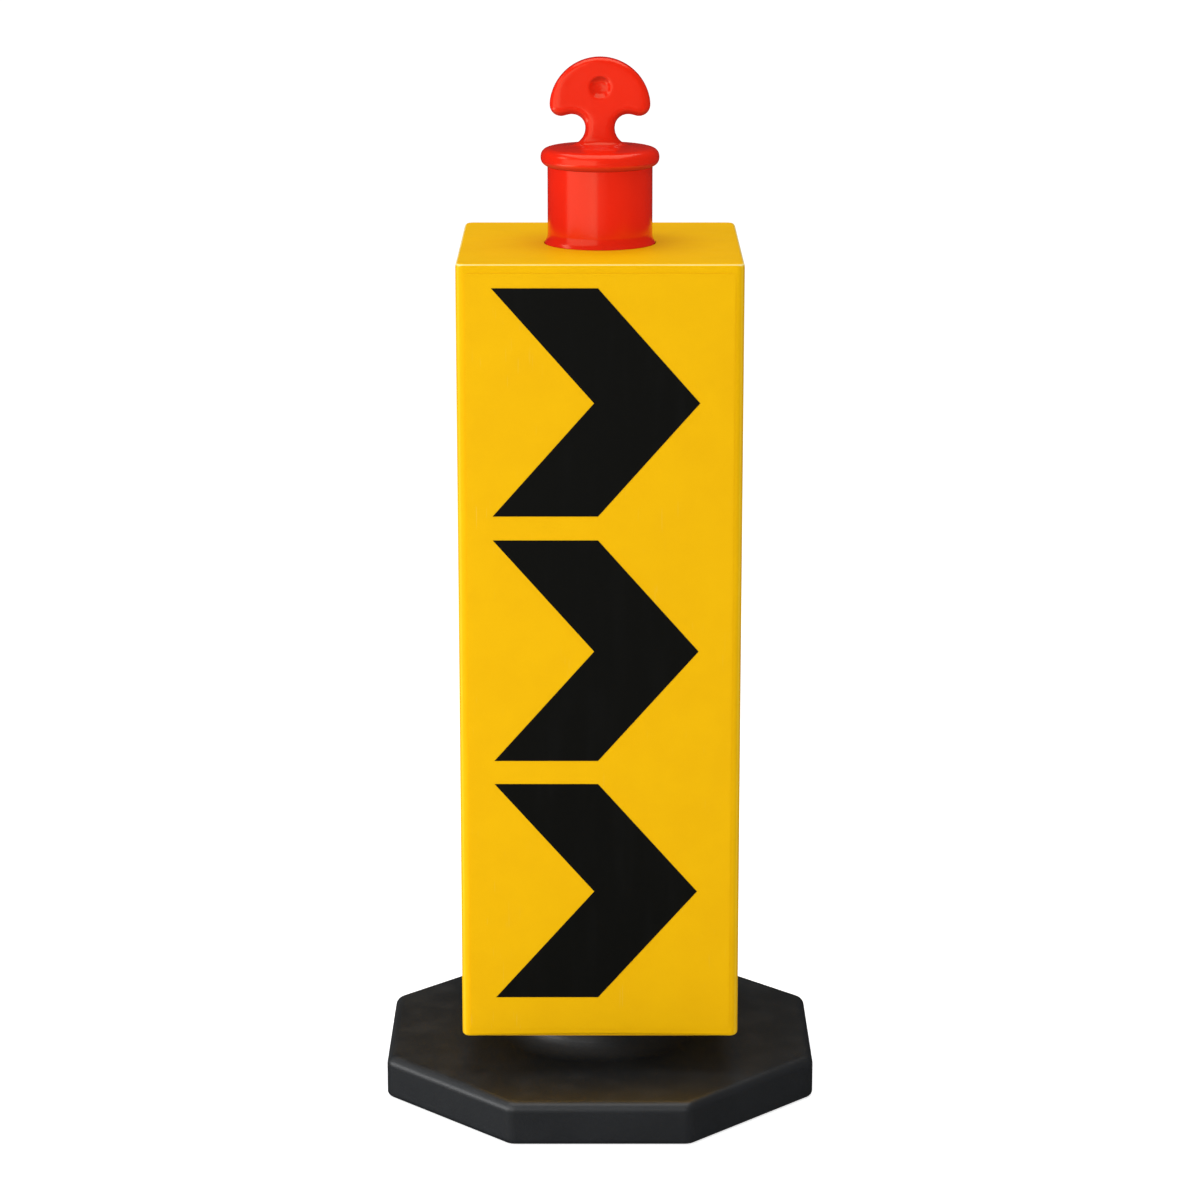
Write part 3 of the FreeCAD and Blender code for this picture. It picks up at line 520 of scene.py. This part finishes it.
FINISHES = {
    "base_rubber": moulded_rubber,
    "ring_plastic": black_nylon,
    "screw_steel": zinc_steel,
    "insert_steel": zinc_steel,
    "orange_plastic": orange_plastic,
    "orange_cap": orange_plastic,
    "yellow_plastic": yellow_plastic,
    "yellow_floor": yellow_plastic,
    "yellow_sheet": yellow_sheeting,
    "black_film": chevron_film,
}
NODE_SLOTS = {entry["node"]: entry["material_slot"] for entry in frame["record"]["subparts"]}


def finish_for(slot):
    """The finish of one of the record's slots, made the first time that it is asked for."""
    name = f"{slot}_finish"
    return bpy.data.materials.get(name) or FINISHES[slot](name)


def coat(obj, slot):
    """Give an object one finish all over."""
    obj.data.materials.clear()
    obj.data.materials.append(finish_for(slot))


def coat_nodes(*names):
    """Give CAD nodes the finishes that their slots name, through their objects' own slots."""
    for name in names:
        obj = frame["nodes"][name]
        if not obj.material_slots:
            obj.data.materials.append(None)
        for holder in obj.material_slots:
            holder.link = "OBJECT"
            holder.material = finish_for(NODE_SLOTS[name])


# ------------------------------------------------------------------ T-top
def head_plate(sizes, collar_high):
    """Head, lobes, finger gaps and neck: half the outline in arcs, mirrored, thickened and rounded."""
    top, front, neck = TOP_HIGH.z, -sizes.thickness / 2, sizes.neck_width / 2
    crown_steps, lobe_steps, gap_steps, throat_steps, root = 36, 18, 18, 14, 2 * MM
    centre = top - sizes.head_radius
    reach = sizes.head_radius - sizes.lobe_radius
    lobe_x, lobe_z = math.sqrt(reach ** 2 - sizes.lobe_rise ** 2), centre + sizes.lobe_rise
    gap_x = neck + sizes.gap_radius
    gap_z = lobe_z - math.sqrt((sizes.gap_radius + sizes.lobe_radius) ** 2 - (lobe_x - gap_x) ** 2)
    throat = gap_z - collar_high
    lean = math.degrees(math.asin(sizes.lobe_rise / reach))
    swing = math.degrees(math.atan2(lobe_z - gap_z, lobe_x - gap_x))

    head = begin_line("t_top_head", (0.0, front, top))
    bend(0.0, centre, 90 - lean, crown_steps, front)
    bend(-lobe_x, lobe_z, 180 - swing + lean, lobe_steps, front)
    bend(-gap_x, gap_z, swing - 180, gap_steps, front)
    bend(-neck - throat, collar_high + throat, -90, throat_steps, front)
    run(0.0, -root)
    run(neck + throat, 0.0)
    bpy.ops.object.mode_set(mode="OBJECT")
    modify(head, "MIRROR", merge_threshold=0.05 * MM)
    bpy.ops.object.mode_set(mode="EDIT")
    bpy.ops.mesh.select_all(action="SELECT")
    bpy.ops.mesh.remove_doubles(threshold=DOUBLED)
    bpy.ops.mesh.edge_face_add()
    bpy.ops.mesh.extrude_region_move(TRANSFORM_OT_translate={"value": (0.0, sizes.thickness, 0.0)})
    bpy.ops.mesh.select_all(action="SELECT")
    bpy.ops.mesh.normals_make_consistent(inside=False)
    bpy.ops.object.mode_set(mode="OBJECT")
    weigh_rims(head, collar_high, lobe_z)
    modify(head, "BEVEL", width=sizes.edge, segments=6, limit_method="WEIGHT", use_clamp_overlap=False)
    modify(head, "REMESH", mode="VOXEL", voxel_size=sizes.grain)
    return head


def weigh_rims(head, collar_high, lobe_z):
    """How strongly each edge of the outline is rounded: fully below the lobes, half as much at the crown."""
    crown_share = 0.5
    weights = head.data.attributes.new("bevel_weight_edge", "FLOAT", "EDGE")
    for edge in head.data.edges:
        first, last = (head.data.vertices[index].co for index in edge.vertices)
        if min(first.z, last.z) > collar_high - MM and abs(first.y - last.y) < MM:
            rise = (first.z + last.z - 2 * lobe_z) / (TOP_HIGH.z - lobe_z)
            weights.data[edge.index].value = 1.0 - (1.0 - crown_share) * min(max(rise, 0.0), 1.0)


def collar_and_spigot(collar_high, stem_high):
    """A section drawn as lines and arcs and spun round the axis: neck flare, bead, spigot and hollow."""
    radius, top_round, low_round, fall = TOP_HIGH.x, 9 * MM, 8.5 * MM, 2.2 * MM
    spigot, hollow, foot, roof = 50.6 * MM, 46.7 * MM, TOP_LOW.z, 8 * MM
    core, flare, widen = 11 * MM, 9 * MM, 1.5
    flare_steps, top_steps, low_steps = 8, 12, 10
    collar = begin_line("t_top_collar", (0.0, 0.0, collar_high + flare))
    run(core, 0.0)
    bend(core + flare, collar_high + flare, 90, flare_steps)
    run(radius - top_round - core - flare, -fall)
    bend(radius - top_round, collar_high - fall - top_round, -90, top_steps)
    run(0.0, stem_high + low_round - collar_high + fall + top_round)
    bend(radius - low_round, stem_high + low_round, -90, low_steps)
    run(spigot - radius + low_round, 0.0)
    run(0.0, foot - stem_high)
    run(hollow - spigot, 0.0)
    run(0.0, collar_high - roof - foot)
    run(-hollow, 0.0)
    bpy.ops.mesh.select_all(action="SELECT")
    bpy.ops.mesh.spin(steps=ROUND_SIDES, angle=TURN, center=(0.0, 0.0, 0.0), axis=(0.0, 0.0, 1.0))
    choose(collar, "verts", lambda vertex: vertex.co.z > collar_high - NEAR
           and vertex.co.xy.length < core + flare + NEAR)
    bpy.ops.transform.resize(value=(widen, 1.0, 1.0), center_override=(0.0, 0.0, collar_high))
    close_shell()
    return collar


def dimple_tool(sizes, side):
    """The ball whose cap a finger dimple leaves, a little flattened at its crown."""
    depth, face = sizes.dimple_depth, sizes.thickness / 2
    flat_from, flatness = 0.85, 0.3
    radius = (sizes.dimple_radius ** 2 + depth ** 2) / (2 * depth)
    height = TOP_HIGH.z - sizes.dimple_drop
    tool = begin("t_top_dimple", bpy.ops.mesh.primitive_uv_sphere_add, segments=64, ring_count=40,
                 radius=radius, location=(0.0, side * (face + radius - depth), height))
    crown = face - flat_from * depth
    choose(tool, "verts", lambda vertex: vertex.co.y * side < crown)
    bpy.ops.transform.resize(value=(1.0, flatness, 1.0), center_override=(0.0, side * crown, height))
    close_shell()
    return tool


def soften(top, sizes, collar_high):
    """Let the joined pieces flow together, most of all under the lobes and round the neck."""
    fade_share, reach_share = 0.4, 1.2
    low = collar_high - 3 * MM
    high = TOP_HIGH.z - sizes.head_radius + 2 * sizes.lobe_radius
    fade, reach = fade_share * (high - low), reach_share * sizes.head_radius

    def underside(place):
        if not low < place.z < high or place.xy.length >= reach:
            return 0.0
        return min(max((high - place.z) / fade, 0.0), 1.0)

    modify(top, "REMESH", mode="VOXEL", voxel_size=sizes.grain)
    modify(top, "SMOOTH", factor=0.5, iterations=6)
    modify(top, "SMOOTH", vertex_group=weigh(top, "underside", underside), factor=0.5, iterations=24)
    top.vertex_groups.clear()


# ------------------------------------------------------------------ sleeve
def sleeve_block(sizes):
    """A block in even panels, its corners, shoulders and lower edges rounded."""
    low, high = SLEEVE_LOW, SLEEVE_HIGH
    half, panels = high.x, 10
    block = begin("sleeve_moulding", bpy.ops.mesh.primitive_cube_add, size=1.0, location=(low + high) / 2,
                  scale=high - low)
    bpy.ops.mesh.subdivide(number_cuts=panels - 1, smoothness=0.0)
    choose(block, "edges", lambda edge: all(
        abs(abs(vertex.co.x) - half) < NEAR and abs(abs(vertex.co.y) - half) < NEAR
        for vertex in edge.verts))
    bpy.ops.mesh.bevel(offset=sizes.corner, segments=6, affect="EDGES", clamp_overlap=False)
    for level, facing, offset in ((high.z, 1, sizes.shoulder), (low.z, -1, sizes.wall - NEAR)):
        choose(block, "edges", lambda edge: all(abs(vertex.co.z - level) < NEAR for vertex in edge.verts)
               and min(face.normal.z * facing for face in edge.link_faces) < 0.5)
        bpy.ops.mesh.bevel(offset=offset, segments=5, affect="EDGES", clamp_overlap=False)
    return block


def sleeve_hollow(block, sizes):
    """Hollow the block from below: the floor's seat, the lip above it and the room inside."""
    seat, lip, lip_width = 4 * MM, 9 * MM, 22 * MM
    room = SLEEVE_HIGH.z - sizes.wall - SLEEVE_LOW.z - seat - lip
    inner = SLEEVE_HIGH.x - sizes.wall
    spread = inner / (inner - lip_width)
    choose(block, "faces", lambda face: face.normal.z < -0.99)
    for rise, scale in ((seat, 1.0), (0.0, 1 / spread), (lip, 1.0), (0.0, spread), (room, 1.0)):
        bpy.ops.mesh.extrude_region_move(TRANSFORM_OT_translate={"value": (0.0, 0.0, rise)})
        bpy.ops.transform.resize(value=(scale, scale, 1.0), center_override=(0.0, 0.0, SLEEVE_LOW.z))
    close_shell()


def sleeve_mouth(block, sizes):
    """The hole in the top with its turned-down rim."""
    hole_gap, rim = 0.7 * MM, 14 * MM
    bore, top = TUBE_HIGH.x + hole_gap, SLEEVE_HIGH.z
    for name, radius, low, high, operation in (
            ("sleeve_rim", bore + sizes.wall, top - rim, top - sizes.wall / 2, "UNION"),
            ("sleeve_hole", bore, top - 2 * rim, top + rim, "DIFFERENCE")):
        tool = begin(name, bpy.ops.mesh.primitive_cylinder_add, vertices=ROUND_SIDES, radius=radius,
                     depth=high - low, location=(0.0, 0.0, (low + high) / 2))
        close_shell()
        combine(block, tool, operation)


def relax_sleeve(block, sizes):
    """Moulding stresses: the side panels draw in and the lower edges rise in the middle."""
    low, high = SLEEVE_LOW, SLEEVE_HIGH
    half, tall, skirt_height = high.x, high.z - low.z, 12 * MM

    def across_share(place):
        return math.cos(math.pi * place / (2 * half))

    def panel(sign):
        def weight(place):
            if place.x * sign < half - 2 * sizes.wall or abs(place.y) > half - sizes.corner:
                return 0.0
            return across_share(place.y) * math.sin(math.pi * (place.z - low.z) / tall)
        return weight

    def skirt(place):
        across, out = sorted((abs(place.x), abs(place.y)))
        if out < half - 1.5 * sizes.wall or place.z > low.z + skirt_height:
            return 0.0
        return across_share(across)

    for name, weight, direction, strength in (
            ("right", panel(1), "X", -sizes.sink), ("left", panel(-1), "X", sizes.sink),
            ("skirt", skirt, "Z", sizes.bow)):
        modify(block, "DISPLACE", vertex_group=weigh(block, name, weight), direction=direction,
               strength=strength, mid_level=0.0)
    block.vertex_groups.clear()


# ------------------------------------------------------------------ operators
class DELINEATOR_OT_top(Operator):
    """Model the T-top and let it flow together as one soft moulding."""
    bl_idname = "delineator.t_top"
    bl_label = "T-top"

    def execute(self, context):
        sizes = context.scene.delineator_top
        stem_high = TUBE_HIGH.z
        collar_high = stem_high + sizes.collar_height
        top = head_plate(sizes, collar_high)
        combine(top, collar_and_spigot(collar_high, stem_high), "UNION")
        soften(top, sizes, collar_high)
        for side in (-1, 1):
            combine(top, dimple_tool(sizes, side), "DIFFERENCE")
        modify(top, "REMESH", mode="VOXEL", voxel_size=sizes.grain)
        modify(top, "SMOOTH", factor=0.5, iterations=3)
        top.name = top.data.name = "t_top_moulding"
        bpy.ops.object.shade_smooth()
        settle(top, "stem", "t_top")
        return {"FINISHED"}


class DELINEATOR_OT_base(Operator):
    """Finish the rubber base and what is fixed in it."""
    bl_idname = "delineator.base"
    bl_label = "Rubber base"

    def execute(self, context):
        coat_nodes("rubber_base", "lock_ring", "lock_ring_screws", "lock_ring_inserts")
        return {"FINISHED"}


class DELINEATOR_OT_post(Operator):
    """Finish the post's tube, its bayonet foot and the bush that guides the sleeve on it."""
    bl_idname = "delineator.post"
    bl_label = "Post"

    def execute(self, context):
        coat_nodes("stem_tube", "bayonet_foot", "guide_bush")
        return {"FINISHED"}


class DELINEATOR_OT_sleeve(Operator):
    """Model the sleeve's moulding, and finish its floor and the floor's screws."""
    bl_idname = "delineator.sleeve"
    bl_label = "Sleeve"

    def execute(self, context):
        sizes = context.scene.delineator_sleeve
        block = sleeve_block(sizes)
        sleeve_hollow(block, sizes)
        relax_sleeve(block, sizes)
        sleeve_mouth(block, sizes)
        bpy.ops.object.select_all(action="DESELECT")
        context.view_layer.objects.active = block
        block.select_set(True)
        bpy.ops.object.shade_smooth_by_angle(angle=math.radians(40))
        modify(block, "WEIGHTED_NORMAL", mode="FACE_AREA", weight=100, keep_sharp=True)
        settle(block, "sleeve", "sleeve_shell")
        coat_nodes("sleeve_floor", "sleeve_floor_screws")
        return {"FINISHED"}


class DELINEATOR_OT_sheeting(Operator):
    """Finish the yellow sheeting and the black chevrons."""
    bl_idname = "delineator.sheeting"
    bl_label = "Sheeting and chevrons"

    def execute(self, context):
        chevrons = (name for name in frame["nodes"] if name.startswith("chevron_"))
        coat_nodes("front_sheet", "rear_sheet", *chevrons)
        return {"FINISHED"}


# Each light's place, what it is turned to, its width, height, power and whether reflections show it.
PANEL_LIGHTS = {
    "key_left": ((-1.443, -1.66, 1.18), (0.0, 0.0, 1.18), 3.08, 2.2, "key_power", True),
    "overhead": ((0.0, 0.1, 2.9), (0.0, 0.0, 0.0), 2.6, 2.6, "top_power", True),
    "low_front": ((-0.2, -2.6, 0.45), (0.0, 0.0, 0.10), 1.6, 0.7, "low_power", False),
    "low_left": ((-1.25, -0.40, 0.24), (0.0, 0.0, 0.04), 1.1, 0.36, "side_power", True),
    "high_left": ((-1.70, -0.15, 2.05), (0.0, 0.0, 1.0), 0.6, 0.6, "high_power", True),
}


class DELINEATOR_OT_stage(Operator):
    """Add the floor, the lights and the camera."""
    bl_idname = "delineator.stage"
    bl_label = "Stage"

    def execute(self, context):
        stage = context.scene.delineator_stage
        self.floor()
        self.sky(context.scene, stage)
        for name, (place, target, width, height, power, shows) in PANEL_LIGHTS.items():
            light = self.panel_light(name, place, target, width, height, getattr(stage, power))
            light.visible_glossy = shows
        self.camera(context.scene, stage)
        context.scene.view_settings.view_transform = "Standard"
        context.scene.view_settings.look = "None"
        return {"FINISHED"}

    @staticmethod
    def floor():
        """A wide floor just under the base, kept out of reflections."""
        width, drop = 90.0, 0.2 * MM
        bpy.ops.object.select_all(action="DESELECT")
        bpy.ops.mesh.primitive_plane_add(size=width, location=(0.0, 0.0, -drop))
        floor = bpy.context.active_object
        floor.name = "studio_floor"
        floor.data.materials.append(studio_floor("studio_floor"))
        floor.visible_glossy = False

    @staticmethod
    def sky(scene, stage):
        """Even light from all round, dim in reflections and white to the camera."""
        world = bpy.data.worlds.new("studio")
        world.use_nodes = True
        tree = world.node_tree
        background = tree.nodes["Background"]
        background.inputs["Color"].default_value = (1.0, 1.0, 1.0, 1.0)
        rays = tree.nodes.new("ShaderNodeLightPath")
        lighting, strength = (tree.nodes.new("ShaderNodeMix") for _ in range(2))
        lighting.inputs["A"].default_value = stage.sky
        lighting.inputs["B"].default_value = stage.sky_gloss
        strength.inputs["B"].default_value = stage.sky_seen
        tree.links.new(rays.outputs["Is Glossy Ray"], lighting.inputs["Factor"])
        tree.links.new(lighting.outputs["Result"], strength.inputs["A"])
        tree.links.new(rays.outputs["Is Camera Ray"], strength.inputs["Factor"])
        tree.links.new(strength.outputs["Result"], background.inputs["Strength"])
        scene.world = world

    @staticmethod
    def panel_light(name, place, target, width, height, power):
        """A rectangular soft light at a place, turned to a target."""
        bpy.ops.object.light_add(type="AREA", location=place)
        light = bpy.context.active_object
        light.name = name
        light.data.shape = "RECTANGLE"
        light.data.size = width
        light.data.size_y = height
        light.data.energy = power
        light.visible_camera = False
        light.rotation_euler = (Vector(target) - Vector(place)).to_track_quat("-Z", "Y").to_euler()
        return light

    @staticmethod
    def camera(scene, stage):
        """A camera in front of the post, looking down at it."""
        bpy.ops.object.camera_add(location=(0.0, -stage.distance, stage.height),
                                  rotation=(TURN / 4 - stage.tilt, 0.0, 0.0))
        camera = bpy.context.active_object
        camera.name = "studio_camera"
        camera.data.lens = stage.lens
        camera.data.sensor_width = 36.0
        camera.data.clip_end = 200.0
        scene.camera = camera


# ------------------------------------------------------------------ panel and registration
STEPS = (DELINEATOR_OT_base, DELINEATOR_OT_post, DELINEATOR_OT_top, DELINEATOR_OT_sleeve,
         DELINEATOR_OT_sheeting, DELINEATOR_OT_stage)
GROUPS = {"delineator_top": DELINEATOR_PG_top, "delineator_sleeve": DELINEATOR_PG_sleeve,
          "delineator_colours": DELINEATOR_PG_colours, "delineator_stage": DELINEATOR_PG_stage}


class DELINEATOR_PT_panel(Panel):
    """Lists the sizes, the colours and the steps."""
    bl_idname = "DELINEATOR_PT_panel"
    bl_label = "Delineator Post"
    bl_space_type = "VIEW_3D"
    bl_region_type = "UI"
    bl_category = "Delineator"

    def draw(self, context):
        for group in (getattr(context.scene, name) for name in GROUPS):
            box = self.layout.box()
            for name in type(group).__annotations__:
                box.prop(group, name)
        for step in STEPS:
            self.layout.operator(step.bl_idname)


def register():
    for kind in (*GROUPS.values(), *STEPS, DELINEATOR_PT_panel):
        bpy.utils.register_class(kind)
    for name, group in GROUPS.items():
        setattr(bpy.types.Scene, name, PointerProperty(type=group))


def unregister():
    for name in GROUPS:
        delattr(bpy.types.Scene, name)
    for kind in (DELINEATOR_PT_panel, *reversed(STEPS), *reversed(GROUPS.values())):
        bpy.utils.unregister_class(kind)


def main():
    register()
    for step in STEPS:
        family, action = step.bl_idname.split(".")
        getattr(getattr(bpy.ops, family), action)()


if __name__ == "__main__":
    main()
